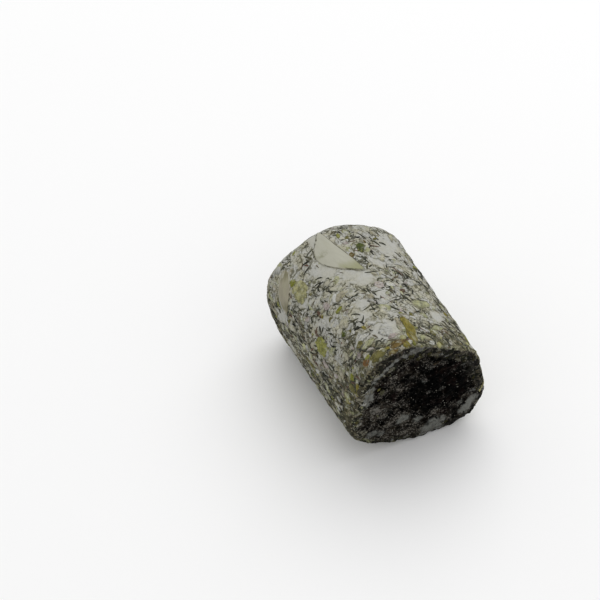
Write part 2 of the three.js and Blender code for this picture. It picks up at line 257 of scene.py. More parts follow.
def end_inset(round_, depth):
    left = round_ - np.clip(depth, 0, round_)
    return round_ - np.sqrt(round_ * round_ - left * left)


def roll_point(angle, depth, share, lift=0.0):
    """The log's point at an angle, a depth below its skin and a share of its length."""
    radius = section_radius(angle, share) - depth + lift - nick(angle, depth, share)
    rear = end_inset(REAR_ROUND, depth)
    front = LENGTH - end_inset(FRONT_ROUND, depth)
    x = radius * np.cos(angle)
    z = axis_height(share) + radius * np.sin(angle)
    lean = FACE_LEAN_UP * (z - LEAN_HEIGHT) + FACE_LEAN_SIDE * x
    rough = CUT_RELIEF * np.sin(0.9 * x + 0.5) * np.cos(0.8 * z)
    y = REAR_Y - (rear + (front - rear) * share) - share * lean - rough
    return np.stack([x, y, z], axis=-1)


def skin_point(angle, along):
    share = np.clip((along - REAR_ROUND) / SKIN_LENGTH, 0, 1)
    short = np.clip(REAR_ROUND - along, 0, REAR_ROUND)
    over = np.clip(along - (LENGTH - FRONT_ROUND), 0, FRONT_ROUND)
    depth = REAR_ROUND - np.sqrt(REAR_ROUND**2 - short**2)
    depth = depth + FRONT_ROUND - np.sqrt(FRONT_ROUND**2 - over**2)
    return roll_point(angle, depth, share, lump(angle, share))


def above_skin(angle, along, height):
    """Points at a height above the coat's outside."""
    along = np.clip(along, PROBE, LENGTH - PROBE)
    aside = PROBE / MEAN_RADIUS
    ahead = skin_point(angle, along + PROBE) - skin_point(angle, along - PROBE)
    across = skin_point(angle + aside, along) - skin_point(angle - aside, along)
    out = np.cross(across, ahead)
    out /= np.linalg.norm(out, axis=-1, keepdims=True)
    return skin_point(angle, along) + out * height[..., None]


def bumps(points, size, depth, seed):
    """Smooth unevenness of a size, up and down by a depth, at each point."""
    offset = Vector((seed * 7.3, seed * 3.1, seed * 5.7))
    return np.array([noise.noise(Vector(p) / size + offset) for p in points]) * depth


def cut_share(depth, front):
    """0 on the coat's outside, which turns over the end's round edge, and 1 well inside the cut face."""
    start = np.where(front, FRONT_BREAK, REAR_BREAK)
    return np.clip((depth - start) / np.where(front, FRONT_EASE, REAR_EASE), 0, 1)


def soaking(angle):
    """1 where the cut edge of the coat is dark with gel, above, on the right and below, and 0 on the left."""
    return 1 - np.clip((np.cos(angle - math.radians(CLEAN_AT)) - 0.35) * 1.7, 0, 1)


def cut_roughness(points, depth, front):
    """How far a cut face is torn out or pressed in at each point."""
    flat = points * (1, 0.2, 1)
    return sum(bumps(flat, *layer) for layer in TORN) * cut_share(depth, front)


def on_cut(x, z, front, height):
    """Points at a height above one of the two cut faces."""
    share = np.where(front, 1.0, 0.0)
    rise = z - axis_height(share)
    angle = np.arctan2(rise, x)
    depth = section_radius(angle, share) - np.hypot(x, rise)
    points = roll_point(angle, depth, share)
    torn = cut_roughness(points.reshape(-1, 3), depth.ravel(), np.broadcast_to(front, depth.shape).ravel())
    points[..., 1] += np.where(front, -1, 1) * (height + torn.reshape(depth.shape))
    return points


def on_the_table(points):
    """Presses what would reach below the table flat against it."""
    points[..., 2] = np.maximum(points[..., 2], 0.01)
    return points


# ---- what lies where

def ramp(value, low, high):
    """0 where value is under low, 1 where it is over high, and even between."""
    return np.clip((value - low) / (high - low), 0, 1)


def skin_distance(angle, along, degrees, middle):
    return np.hypot(past(angle, degrees) * MEAN_RADIUS, along - middle)


def patches(places, angle, along):
    """1 inside round patches, given as degrees, millimetres and radius, and 0 well outside them."""
    deep = np.zeros(np.shape(angle))
    for degrees, middle, radius in places:
        gap = skin_distance(angle, along, degrees, middle) / radius
        deep = np.maximum(deep, np.clip(2.0 - 1.6 * gap, 0, 1))
    return deep


def bareness(angle, along):
    """How little dust the coat has near the cut edge, together with painted shade that darkens it low on the
    left side.
    """
    # painted shade: the low left side is given a darker, more olive coat
    low_left_shade = np.clip(-np.cos(angle - math.radians(SHADE_ACROSS_FROM)) * 1.4 - 0.5, 0, 1)
    drifts = patches(DRIFTS, angle, along)
    return np.clip(0.75 * ramp(along, 26, 35) + 0.65 * low_left_shade - 0.6 * drifts, 0, 1)


def darkening_near_cut(angle, along):
    """How much darker the coat is made next to the crisp cut, on the left: 0 to 1."""
    return ramp(along, 33.5, 37) * (1 - soaking(angle))


def turned(aside, ahead, turn):
    """Places beside and ahead of a spot once they are turned about it."""
    return aside * np.cos(turn) + ahead * np.sin(turn), ahead * np.cos(turn) - aside * np.sin(turn)


def beside_slices(angle, along, margin):
    """True where a spot is clear of every large slice."""
    clear = np.ones(np.shape(angle), bool)
    for degrees, middle, long, wide, turn, lean, *_ in SLICES:
        u, v = turned(past(angle, degrees) * MEAN_RADIUS, along - middle, -math.radians(turn))
        clear &= np.hypot((u - lean * wide / 2) / (wide / 2 + margin), v / (long / 2 + margin)) > 1
    return clear


def facing(x, front):
    """x as it counts on a cut face: the rear face has what the front has, the other way round."""
    return np.where(front, x, -x)


def smeared(x, z, front):
    """How deep starch lies on a cut face."""
    x = facing(x, front)
    deep = np.zeros(np.shape(x))
    for middle, height, reach, thick in SMEARS:
        gap = np.hypot(x - middle, z - height) / reach
        deep = np.maximum(deep, thick * np.clip(1.6 - gap, 0, 1))
    return deep


def greyness(x, z, front):
    """How much fine dust lies on a cut face, apart from its smears: 0 to about 1."""
    x = facing(x, front)
    rise = z - BLACKEST[1]
    away = np.minimum(ramp(np.hypot(x - BLACKEST[0], rise), 3, 14), 0.6)
    return away + 0.4 * ramp(-x - 0.6 * rise, 0, 14) + 0.4 * ramp(x, 8, 11)


# ---- meshes

def piece_of(name, mesh, material, node):
    """Puts a mesh in the scene as a piece that stands for a node of the solids, alone or with others."""
    for polygon in mesh.polygons:
        polygon.use_smooth = True
    mesh.materials.append(material)
    piece = bpy.data.objects.new(name, mesh)
    bpy.context.scene.collection.objects.link(piece)
    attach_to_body(piece, "root")
    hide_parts(node)


def attach(mesh, **sets):
    """Stores sets of numbers or colours, each with one for every vertex."""
    for name, values in sets.items():
        values = np.asarray(values, np.float32)
        kind, key = "FLOAT", "value"
        if values.ndim == 2:
            values = np.column_stack([values, np.ones(len(values), np.float32)]).ravel()
            kind, key = "FLOAT_COLOR", "color"
        mesh.attributes.new(name, kind, "POINT").data.foreach_set(key, values)


def mesh_of(form, name):
    mesh = bpy.data.meshes.new(name)
    form.to_mesh(mesh)
    form.free()
    return mesh


def lathe(profile, around):
    """Spins a profile of (layer, share) about Z, closed on itself or from axis to axis. Returns the
    mesh and each vertex's angle, layer and share."""
    form = bmesh.new()
    chain = [form.verts.new((layer, 0, share)) for layer, share in profile]
    edges = [form.edges.new(pair) for pair in zip(chain, chain[1:])]
    if profile[0][0] > 0:
        edges.append(form.edges.new((chain[-1], chain[0])))
    bmesh.ops.spin(
        form, geom=chain + edges, cent=(0, 0, 0), axis=(0, 0, 1), dvec=(0, 0, 0),
        angle=2 * math.pi, steps=around, use_merge=True, use_duplicate=False,
    )
    bmesh.ops.remove_doubles(form, verts=form.verts, dist=1e-6)
    bmesh.ops.recalc_face_normals(form, faces=form.faces)
    mesh = mesh_of(form, "lathe")
    spot = np.empty(len(mesh.vertices) * 3)
    mesh.vertices.foreach_get("co", spot)
    spot = spot.reshape(-1, 3)
    return mesh, np.arctan2(spot[:, 1], spot[:, 0]), np.hypot(spot[:, 0], spot[:, 1]), spot[:, 2]


def set_points(mesh, points):
    mesh.vertices.foreach_set("co", (on_the_table(points) * MM).ravel())
    mesh.update()


def steps(start, stop, count, ease=1.0):
    """Numbers from start up to but not including stop, closer together near start where ease is over 1."""
    return [start + (stop - start) * (i / count) ** ease for i in range(count)]


# ---- shader maths

class Wire:
    """An output of a shader node, which takes part in Python's arithmetic."""

    def __init__(self, finish, socket):
        self.finish = finish
        self.socket = socket

    def maths(self, operation, first, second):
        return self.finish.node("ShaderNodeMath", {"operation": operation}, {0: first, 1: second})

    def __add__(self, other):
        return self.maths("ADD", self, other)

    def __radd__(self, other):
        return self.maths("ADD", other, self)

    def __sub__(self, other):
        return self.maths("SUBTRACT", self, other)

    def __rsub__(self, other):
        return self.maths("SUBTRACT", other, self)

    def __mul__(self, other):
        return self.maths("MULTIPLY", self, other)

    def __rmul__(self, other):
        return self.maths("MULTIPLY", other, self)

    def __abs__(self):
        return self.finish.node("ShaderNodeMath", {"operation": "ABSOLUTE"}, {0: self})


class Finish:
    """A material that is put together from wires."""

    def __init__(self, name, roughness, specular):
        self.material = bpy.data.materials.new(name)
        self.material.use_nodes = True
        self.tree = self.material.node_tree
        self.shader = self.tree.nodes["Principled BSDF"]
        self.shader.inputs["Roughness"].default_value = roughness
        self.shader.inputs["Specular IOR Level"].default_value = specular
        self.place = self.node("ShaderNodeTexCoord", {}, {}, "Object")

    def along_fibres(self):
        """Makes every later pattern follow the piece's own fibres."""
        self.place = self.attribute("fibre", "Vector")

    def node(self, kind, settings, sockets, output=0):
        made = self.tree.nodes.new(kind)
        for name, value in settings.items():
            setattr(made, name, value)
        for name, value in sockets.items():
            if isinstance(value, Wire):
                self.tree.links.new(value.socket, made.inputs[name])
            else:
                made.inputs[name].default_value = value
        return Wire(self, made.outputs[output])

    def attribute(self, name, output="Fac"):
        return self.node("ShaderNodeAttribute", {"attribute_name": name}, {}, output)

    def noise(self, size, seed, detail=2.0, rough=0.5, distortion=0.0):
        """Soft noise from 0 to 1, with features of a size in millimetres."""
        sockets = {
            "Vector": self.place, "W": seed, "Scale": 1 / (size * MM), "Detail": detail,
            "Roughness": rough, "Distortion": distortion,
        }
        return self.node("ShaderNodeTexNoise", {"noise_dimensions": "4D"}, sockets, "Fac")

    def step(self, wire, low, high):
        """0 where wire is at low, 1 where it is at high, and smooth between."""
        settings = {"interpolation_type": "SMOOTHSTEP"}
        return self.node("ShaderNodeMapRange", settings, {"Value": wire, "From Min": low, "From Max": high})

    def veins(self, size, width, seed):
        """1 along thin wandering lines that are broken into dashes, 0 elsewhere."""
        away = abs(self.noise(size, seed, 1.5, 0.55, 0.6) - 0.5)
        line = 1 - self.step(away, width * 0.4, width)
        return line * self.step(self.noise(size * 0.6, seed + 0.5, 1), 0.42, 0.54)

    def mix(self, share, base, top):
        sides = {6: base, 7: top}
        sockets = {k: v if isinstance(v, Wire) else (*v, 1.0) for k, v in sides.items()}
        return self.node("ShaderNodeMix", {"data_type": "RGBA"}, {0: share, **sockets}, 2)

    def ragged(self, wire, reach, *pattern):
        """wire, shifted up and down by noise of a pattern by up to half of reach."""
        return wire + reach * (self.noise(*pattern) - 0.5)

    def blotch(self, base, top, share, low, high, pattern, more=0.0):
        """Lays a share of top over base where noise of a pattern, and more on it, rises from low to high."""
        return self.mix(self.step(self.noise(*pattern) + more, low, high) * share, base, top)

    def layers(self, base, *blotches):
        """Lays one colour after the other over base, each as blotch takes it."""
        for top, *how in blotches:
            base = self.blotch(base, top, *how)
        return base

    def feed(self, name, wire):
        self.tree.links.new(wire.socket, self.shader.inputs[name])

    def done(self, colour, height, depth):
        """The material in a colour, raised by up to depth millimetres where height is 1."""
        self.feed("Base Color", colour)
        sockets = {"Strength": 1.0, "Distance": depth * MM, "Height": height}
        self.feed("Normal", self.node("ShaderNodeBump", {}, sockets, "Normal"))
        return self.material


# ---- finishes

def dusted_ground(made, bare):
    """Starch over crushed nut: powder, cream, soft stains of olive and husk, and soft blotches of painted
    shade.
    """
    # bare turns the ground olive, stained and dark in blotches: less dust near the cut edge, and painted
    # shade low on the left
    ground = made.layers(
        POWDER,
        (CREAM, 1, 0.38, 0.62, (2.6, 1, 3, 0.6, 0.3)),
        (srgb(134, 136, 106), 0.75, 0.56, 0.72, (1.9, 3, 3, 0.6, 0.4), 0.16 * bare),
        (srgb(124, 114, 92), 0.8, 0.58, 0.72, (1.7, 5, 3, 0.6, 0.4), 0.16 * bare),
        # painted shade: soft grey blotches for the shading of small bumps
        (srgb(106, 106, 92), 0.5, 0.5, 0.72, (0.8, 9, 4, 0.65, 0.5)),
    )
    ground = made.mix(bare * 0.4, ground, srgb(114, 108, 78))
    dark = (1.1, 13, 4, 0.65, 0.4)
    return made.blotch(ground, srgb(44, 43, 29), 0.95 * bare, 0.56, 0.68, dark, 0.14 * bare)


def crumb_colours(made, soaked):
    """Pressed crumbs seen at a cut: nut, starch and dark gel side by side, and darker ones where the edge
    is soaked with gel, above and on the right."""
    dry = made.layers(
        srgb(56, 53, 40),
        (srgb(106, 101, 80), 1, 0.4, 0.62, (1.1, 21)),
        (TINTS["olive"], 0.8, 0.56, 0.68, (0.8, 22)),
        (srgb(140, 136, 124), 0.85, 0.55, 0.66, (0.7, 23, 3)),
        (srgb(22, 20, 16), 0.95, 0.44, 0.56, (0.6, 24, 4, 0.65)),
    )
    wet = made.layers(
        srgb(12, 10, 9),
        (srgb(58, 54, 46), 1, 0.46, 0.66, (1.4, 31, 3)),
        (srgb(76, 70, 48), 0.7, 0.54, 0.7, (0.9, 32, 3)),
        (srgb(108, 105, 99), 0.85, 0.54, 0.66, (0.5, 33, 4, 0.78)),
    )
    return made.mix(soaked, dry, wet)


def starch_film(made):
    """1 where starch is smeared on a cut, ragged and grainy at its edges."""
    film = made.ragged(made.attribute("powder"), 1.0, 0.8, 5, 5, 0.75, 0.4)
    return made.step(made.ragged(film, 0.5, 0.3, 12, 3, 0.7), 0.2, 0.68)


def coat_finish():
    """The dusted ground with broken dark creases, coloured as nut skin with painted shade, and pressed crumbs
    where it is cut.
    """
    made = Finish("dusted_coat", 0.88, 0.1)
    drift = made.attribute("drift")
    ground = made.mix(drift * 0.6, dusted_ground(made, made.attribute("bare")), POWDER)
    # painted shade: soft grey strokes over the ground, fewer on the drifts
    soft_shade_strokes = made.veins(1.0, 0.09, 33) * (1 - 0.8 * drift)
    ground = made.mix(soft_shade_strokes * 0.45, ground, srgb(98, 99, 84))
    # the creases are sunk in the relief and painted dark: nut skin, with painted shade
    creases = (made.veins(1.4, 0.045, 7) * 0.9 + made.veins(2.4, 0.026, 11) * 0.8) * (1 - drift)
    crease_skin_and_shade = made.mix(made.noise(2.4, 15, 1), CREVICE_SKIN_AND_SHADE, CREVICE_OLIVE)
    colour = made.layers(
        made.mix(made.step(creases, 0.1, 0.9) * 0.7, ground, crease_skin_and_shade),
        (CREVICE_OLIVE, 0.3, 0.6, 0.74, (0.4, 17, 2, 0.6)),
        # darker blotches next to the crisp cut, on the left
        (srgb(48, 44, 34), 0.85, 0.62, 0.86, (1.0, 37, 4, 0.65, 0.4), 0.45 * made.attribute("soiled")),
    )
    soaked = made.ragged(made.attribute("soaked"), 0.9, 1.3, 23, 3, 0.6)
    cut = crumb_colours(made, made.step(soaked, 0.3, 0.62))
    inner = made.ragged(made.attribute("inner"), 0.7, 1.2, 19, 4, 0.65)
    cut = made.mix(made.step(inner, 0.5, 1.05) * 0.85, cut, srgb(16, 15, 12))
    cut = made.mix(starch_film(made) * 0.85, cut, SMEAR)
    edge = made.step(made.ragged(made.attribute("cut"), 0.4, 1.1, 35, 3, 0.6, 0.3), 0.44, 0.56)
    relief = made.noise(0.3, 27, 3, 0.6) * 0.4 + made.noise(0.9, 29, 3, 0.6) * 0.9
    relief -= made.step(creases, 0.1, 0.8) * 0.6
    return made.done(made.mix(edge, colour, cut), relief, 0.11)


def flake_finish(name, dustiness, cover):
    """A scrap of nut in its own tint, mottled, unevenly dusted, and covered by starch along its rim."""
    made = Finish(name, 0.85, 0.12)
    grain = made.noise(0.45, 2, 3, 0.65, 0.3)
    ragged = made.ragged(made.attribute("rim") * cover, 1.1, 0.6, 6, 3, 0.6, 0.4)
    line = made.step(ragged, 0.2, 0.3) - made.step(ragged, 0.34, 0.46)
    colour = made.layers(
        made.mix(made.step(grain, 0.42, 0.7) * 0.65, made.attribute("tint", "Color"), srgb(54, 54, 30)),
        (srgb(150, 146, 110), 0.5, 0.54, 0.7, (0.7, 3, 2)),
        (POWDER, 0.8, 0.75 - dustiness, 0.95 - dustiness, (1.0, 4, 4, 0.65, 0.4)),
        # a thin dark line near the rim: nut skin, with painted shade at the edge
        (CREVICE_SKIN_AND_SHADE, line * 0.6, 0.46, 0.56, (0.9, 7)),
    )
    colour = made.mix(made.step(ragged, 0.32, 0.48), colour, dusted_ground(made, 0.3))
    return made.done(colour, grain * 0.6 + made.noise(0.2, 8) * 0.4, 0.05)


def crumb_finish():
    """A crumb dragged over a cut face: its own tint, wet with dark gel in places, and a little dust."""
    made = Finish("cut_crumb", 0.85, 0.05)
    colour = made.layers(
        made.attribute("tint", "Color"),
        (srgb(12, 11, 9), 0.85, 0.44, 0.62, (0.7, 2, 3, 0.65)),
        (srgb(104, 101, 94), 0.5, 0.62, 0.74, (0.42, 4, 4, 0.78)),
    )
    return made.done(colour, made.noise(0.25, 8), 0.05)


def sliver_finish():
    """A shred of dark nut skin, partly dusted."""
    made = Finish("nut_skin", 0.8, 0.12)
    tint = made.attribute("tint", "Color")
    colour = made.blotch(tint, srgb(138, 136, 122), 0.7, 0.46, 0.7, (0.8, 3, 3, 0.6))
    return made.done(colour, made.noise(0.25, 5), 0.03)


def pale_slice_finish(kind, unevenness):
    """A smooth slice of pale flesh: streaked along its fibres, greener at its tip, or at both ends where it
    is husk, and with a thin, broken line of dark skin round it."""
    made = Finish(f"nut_flesh_{kind}", 0.7, 0.14)
    made.along_fibres()
    flesh = TINTS[kind]
    streak = made.noise(0.8, 2, 4, 0.6, 0.3)
    colour = made.mix(made.step(streak, 0.38, 0.68) * unevenness, flesh, tuple(0.6 * c for c in flesh))
    colour = made.blotch(colour, TINTS["sage"], 0.5 * unevenness, 0.52, 0.7, (1.3, 3, 2))
    ends, green = made.attribute("tip"), srgb(130, 131, 90)
    if kind == "husk":
        ends, green = abs(ends), srgb(100, 97, 68)
    ring = made.attribute("ring")
    skin = made.step(made.ragged(ring, 0.2, 0.6, 10, 3), 0.92, 0.97)
    colour = made.layers(
        made.mix(made.step(made.ragged(ends, 0.5, 0.9, 4), 0.36, 0.86) * 0.7, colour, green),
        (srgb(100, 102, 70), made.attribute("bruise") * 0.7, 0.36, 0.5, (0.5, 16, 4, 0.7, 0.4)),
        (srgb(62, 60, 44), skin * 0.85, 0.38, 0.48, (0.6, 12, 2)),
    )
    rim_at = 1 - 0.5 * unevenness
    cover = made.step(made.ragged(ring, 3.2 * unevenness, 1.1, 15, 3), rim_at, rim_at + 0.12)
    colour = made.mix(cover, colour, dusted_ground(made, 0.4))
    return made.done(colour, streak * 0.6 + made.noise(0.3, 14, 3) * 0.3, 0.06)


def green_slice_finish(kind, dust):
    """A rough slice of green flesh: mottled dark and yellow along its fibres, dusted, and covered by starch
    along its ragged rim."""
    made = Finish(f"nut_flesh_{kind}", 0.75, 0.16)
    made.along_fibres()
    grain = made.noise(0.7, 2, 4, 0.65, 0.5)
    lit, deep = (tuple(share * c for c in TINTS[kind]) for share in (1.25, 0.55))
    ragged = made.ragged(made.attribute("ring"), 1.3, 0.8, 6, 3, 0.6, 0.4)
    line = made.step(ragged, 0.84, 0.92) - made.step(ragged, 0.96, 1.04)
    colour = made.layers(
        made.mix(made.step(grain, 0.36, 0.62), lit, deep),
        (srgb(150, 140, 84), 0.6, 0.56, 0.7, (0.5, 3, 3)),
        (srgb(158, 158, 142), dust, 0.5, 0.68, (0.9, 4, 4, 0.65, 0.5)),
        # a thin dark line inside the rim: nut skin, with painted shade at the edge
        (CREVICE_SKIN_AND_SHADE, line * 0.7, 0.44, 0.54, (0.9, 7)),
    )
    colour = made.mix(made.step(ragged, 0.96, 1.1), colour, dusted_ground(made, 0.5))
    return made.done(colour, grain * 0.7 + made.noise(0.3, 12, 3) * 0.5, 0.1)


def gel_finish():
    """Near-black gel with a torn, matt cut face, and starch smeared and dusted over parts of it."""
    made = Finish("dark_gel", 0.75, 0.01)
    grey = made.attribute("grey")
    cloud = made.noise(2.4, 8, 3, 0.6, 0.4) - 0.5
    film = starch_film(made)
    colour = made.layers(
        srgb(0, 0, 0),
        (srgb(22, 14, 12), 1, 0.5, 0.75, (2.2, 1, 3, 0.6, 0.4)),
        (srgb(64, 58, 48), 0.4, 0.6, 0.84, (1.2, 4, 4, 0.7, 0.4), 0.2 * grey + 0.4 * cloud),
        (srgb(108, 104, 97), 0.8, 0.65, 0.76, (0.42, 3, 4, 0.78), 0.14 * grey + 0.6 * cloud),
        (srgb(108, 104, 98), 0.7, 0.64, 0.72, (0.28, 6, 2, 0.6), 0.03 * grey + 0.35 * cloud),
    )
    colour = made.mix(film * 0.88, colour, SMEAR)
    rim = made.step(made.ragged(made.attribute("rim"), 0.8, 1.1, 9, 4, 0.65), 0.6, 1.0)
    colour = made.mix(rim * 0.6, colour, crumb_colours(made, made.attribute("soaked")))
    made.feed("Roughness", 0.7 + 0.2 * film)
    return made.done(colour, made.noise(0.6, 7, 4, 0.65, 0.2) + 0.3 * film, 0.16)


def starch_finish():
    made = Finish("starch", 0.9, 0.08)
    made.feed("Base Color", made.mix(made.noise(0.9, 1, 1), srgb(84, 80, 72), srgb(136, 134, 126)))
    return made.material


# ---- the coat and the core

SKIN_AROUND = 320
SKIN_ROWS = 200
EDGE_ROWS = 16
EDGE_EASE = 1.6  # the rows of the coat's cut edge lie closer together near the skin
BORE_ROWS = 4


def tear(points, smooth, depth, share):
    """Roughens the points that lie on a cut face. smooth is where they lie without any relief. Returns
    which points are in front and which are on a cut face."""
    front = share > 0.5
    at_end = (share < 0.001) | (share > 0.999)
    torn = cut_roughness(smooth, depth, front)
    points[:, 1] += np.where(at_end, np.where(front, -1, 1) * torn, 0)
    return front, at_end


def make_coat():
    profile = [(2, share) for share in steps(0, 1, SKIN_ROWS)]
    profile += [(layer, 1) for layer in steps(2, 1, EDGE_ROWS, EDGE_EASE)]
    profile += [(1, share) for share in steps(1, 0, BORE_ROWS)]
    profile += [(1, 0)] + [(layer, 0) for layer in reversed(steps(2, 1, EDGE_ROWS, EDGE_EASE)[1:])]
    mesh, angle, layer, share = lathe(profile, SKIN_AROUND)
    outer = layer - 1
    depth = (1 - outer) * coat_thickness(angle) + SKIN_SUNK * outer
    flat = roll_point(angle, depth, share, outer * lump(angle, share))
    relief = sum(bumps(flat, *entry) for entry in SKIN_RELIEF)
    points = roll_point(angle, depth - relief * outer, share, outer * lump(angle, share))
    front, at_end = tear(points, flat, depth, share)
    set_points(mesh, points)
    along = REAR_ROUND + share * SKIN_LENGTH
    past_edge = depth - np.where(front, FRONT_EDGE, REAR_EDGE)
    # bare takes in the painted shade low on the left
    attach(
        mesh, bare=bareness(angle, along), drift=patches(DRIFTS, angle, along), soiled=darkening_near_cut(angle, along),
        cut=np.where(at_end, np.clip(0.5 + past_edge / 2, 0, 1), 0), inner=1 - outer,
        soaked=soaking(angle), powder=smeared(points[:, 0], points[:, 2], front),
    )
    piece_of("coat_skin", mesh, coat_finish(), "coat")


CORE_AROUND = 260
CORE_RINGS = 64
CORE_OVERLAP = 0.06  # the gel is pressed into the coat by this much
CORE_RIM = 2.0  # how far in from its rim the gel's cut face has crumbs pressed into it


def make_core():
    profile = [(layer, 0) for layer in steps(0, 1, CORE_RINGS)]
    profile += [(1, share) for share in steps(0, 1, BORE_ROWS)]
    profile += [(1 - layer, 1) for layer in steps(0, 1, CORE_RINGS)] + [(0, 1)]
    mesh, angle, layer, share = lathe(profile, CORE_AROUND)
    skin = section_radius(angle, share)
    reach = skin - coat_thickness(angle) + CORE_OVERLAP
    depth = skin - layer * reach
    points = roll_point(angle, depth, share)
    front, _ = tear(points, points, depth, share)
    x, z = points[:, 0], points[:, 2]
    rim = np.clip(1 - (1 - layer) * reach / CORE_RIM, 0, 1)
    attach(mesh, powder=smeared(x, z, front), grey=greyness(x, z, front), rim=rim, soaked=soaking(angle))
    set_points(mesh, points)
    piece_of("gel_core", mesh, gel_finish(), "core")


# ---- flakes, slivers and grains

TILT = 0.03  # how steeply the scraps lie, at random


def thicken(form):
    """Gives a flat form a thickness of 1."""
    top = bmesh.ops.extrude_face_region(form, geom=form.faces[:])
    raised = [part for part in top["geom"] if isinstance(part, bmesh.types.BMVert)]
    bmesh.ops.translate(form, vec=(0, 0, 1), verts=raised)


def corners_of(form):
    """A form's points, and the numbers of each face's corners. It uses the form up."""
    form.verts.index_update()
    points = np.array([vertex.co[:] for vertex in form.verts])
    sides = [[vertex.index for vertex in face.verts] for face in form.faces]
    form.free()
    return points, sides


def copies_mesh(name, points, faces):
    mesh = bpy.data.meshes.new(name)
    mesh.from_pydata((on_the_table(points) * MM).tolist(), [], faces)
    return mesh


def repeated(sides, corners, count, start=0):
    """The faces of a number of copies of a shape, each with as many corners as given."""
    return [[start + copy * corners + corner for corner in side] for copy in range(count) for side in sides]


def closed_plate(form, rim_width=0.0, rise=0.0):
    """Gives a flat form a thickness of 1 and, where rim_width is set, a middle that rises. Returns its
    points, 1 for each point of the rim and its faces."""
    thicken(form)
    if rim_width:
        lids = [face for face in form.faces if face.calc_center_median().z > 0.99]
        bmesh.ops.inset_region(form, faces=lids, thickness=rim_width, use_even_offset=True)
        middle = {vertex for face in lids for vertex in face.verts}
        bmesh.ops.translate(form, vec=(0, 0, rise), verts=list(middle))
    bmesh.ops.recalc_face_normals(form, faces=form.faces)
    points, sides = corners_of(form)
    return points, np.where(points[:, 2] > 1.01, 0.0, 1.0), sides


def scrap(corners, seed):
    """A flat many-sided scrap of unit half-length, with a rim round its top."""
    chance = np.random.default_rng(seed)
    form = bmesh.new()
    bmesh.ops.create_circle(form, cap_ends=True, radius=1, segments=corners)
    for vertex in form.verts:
        vertex.co.xy *= 1 + chance.uniform(-0.3, 0.24)
    return closed_plate(form, 0.4, 0.3)


def shred(seed):
    """A narrow shred of unit half-length with tapered, uneven ends."""
    chance = np.random.default_rng(seed)
    form = bmesh.new()
    bmesh.ops.create_grid(form, x_segments=1, y_segments=4, size=1)
    for vertex in form.verts:
        taper = 1 - 0.75 * abs(vertex.co.y) ** 2.5
        vertex.co.x *= taper * (1 + chance.uniform(-0.3, 0.3))
    return closed_plate(form)


def strew(name, shapes, spots, place, material):
    """Joins one shape for each spot into a piece that stands for the coat with others. A spot has the keys
    long, wide, turn, lift, thick, tilt, bow and tint, each an array, and those that place needs. place
    takes the spots' keys, how far aside and ahead of its spot each point is, and its height."""
    points, rims, tints, faces = [], [], [], []
    start = 0
    for number, (shape, rim, sides) in enumerate(shapes):
        few = {key: value[number :: len(shapes), None] for key, value in spots.items() if key != "tint"}
        tint = spots["tint"][number :: len(shapes)]
        v = shape[:, 1] * few["long"] / 2
        u = shape[:, 0] * few["wide"] / 2 + few["bow"] * (shape[:, 1] ** 2 - 0.4) * few["long"] / 2
        height = few["lift"] + (shape[:, 2] - 1) * few["thick"] + v * few["tilt"]
        points.append(place(few, *turned(u, v, few["turn"]), height).reshape(-1, 3))
        rims.append(np.tile(rim, len(tint)))
        tints.append(np.repeat(tint, len(shape), axis=0))
        faces += repeated(sides, len(shape), len(tint), start)
        start += len(tint) * len(shape)
    mesh = copies_mesh(name, np.concatenate(points), faces)
    attach(mesh, rim=np.concatenate(rims), tint=np.concatenate(tints))
    piece_of(name, mesh, material, "coat")


def place_on_skin(few, aside, ahead, height):
    return above_skin(few["angle"] + aside / MEAN_RADIUS, few["along"] + ahead, height)


def place_on_cut(few, aside, ahead, height):
    front = np.broadcast_to(few["front"] > 0.5, height.shape)
    return on_cut(few["x"] + aside, few["z"] + ahead, front, height)


def random_sizes(chance, count, long, slim, thick, lift):
    """Sizes and ways of lying, more of them short than long. slim is the width in lengths."""
    length = long[0] + (long[1] - long[0]) * chance.uniform(0, 1, count) ** 2.0
    return {
        "long": length,
        "wide": length * chance.uniform(*slim, count),
        "turn": chance.uniform(0, math.pi, count),
        "lift": chance.uniform(*lift, count),
        "thick": chance.uniform(*thick, count),
        "tilt": chance.normal(0, TILT, count),
        "bow": np.zeros(count),
    }


def pick(spots, used):
    return {key: value[used] for key, value in spots.items()}


def scatter(chance, count, *sizes):
    """Random spots all over the coat. A long flake stays clear of the crisp edge."""
    spots = random_sizes(chance, count, *sizes)
    spots["angle"] = chance.uniform(-math.pi, math.pi, count)
    spots["along"] = chance.uniform(0.6, LENGTH - 0.3, count)
    spots["along"] = np.minimum(spots["along"], LENGTH - 0.1 - 0.45 * spots["long"])
    return spots


def with_marks(chance, spots, table, places, thick, lift):
    """Adds the flakes of a table, whose first two columns are the named places, to the spots."""
    marks = random_sizes(chance, len(table), (1, 1), (1, 1), thick, lift)
    numbers = np.array([row[:5] for row in table], float).T
    marks.update(zip((*places, "long", "wide", "turn"), numbers))
    marks["turn"] = np.radians(marks["turn"])
    if "angle" in places:
        marks["angle"] = np.radians(marks["angle"])
    else:
        marks["front"] = np.ones(len(table))
    marks["tint"] = np.array([TINTS[row[5]] for row in table])
    return {key: np.concatenate([spots[key], marks[key]]) for key in spots}


def choose_tints(chance, count, weights, spread):
    """One tint for each spot, by the weights of the named tints there, and a little lighter or darker."""
    parts = np.array([np.broadcast_to(part, count) for part in weights.values()], float)
    share = np.cumsum(parts / parts.sum(axis=0, keepdims=True), axis=0)
    chosen = (chance.uniform(0, 1, count) > share).sum(axis=0)
    palette = np.array([TINTS[name] for name in weights])
    shade = 1 + chance.normal(0, spread, count)
    return palette[np.minimum(chosen, len(palette) - 1)] * shade[:, None]


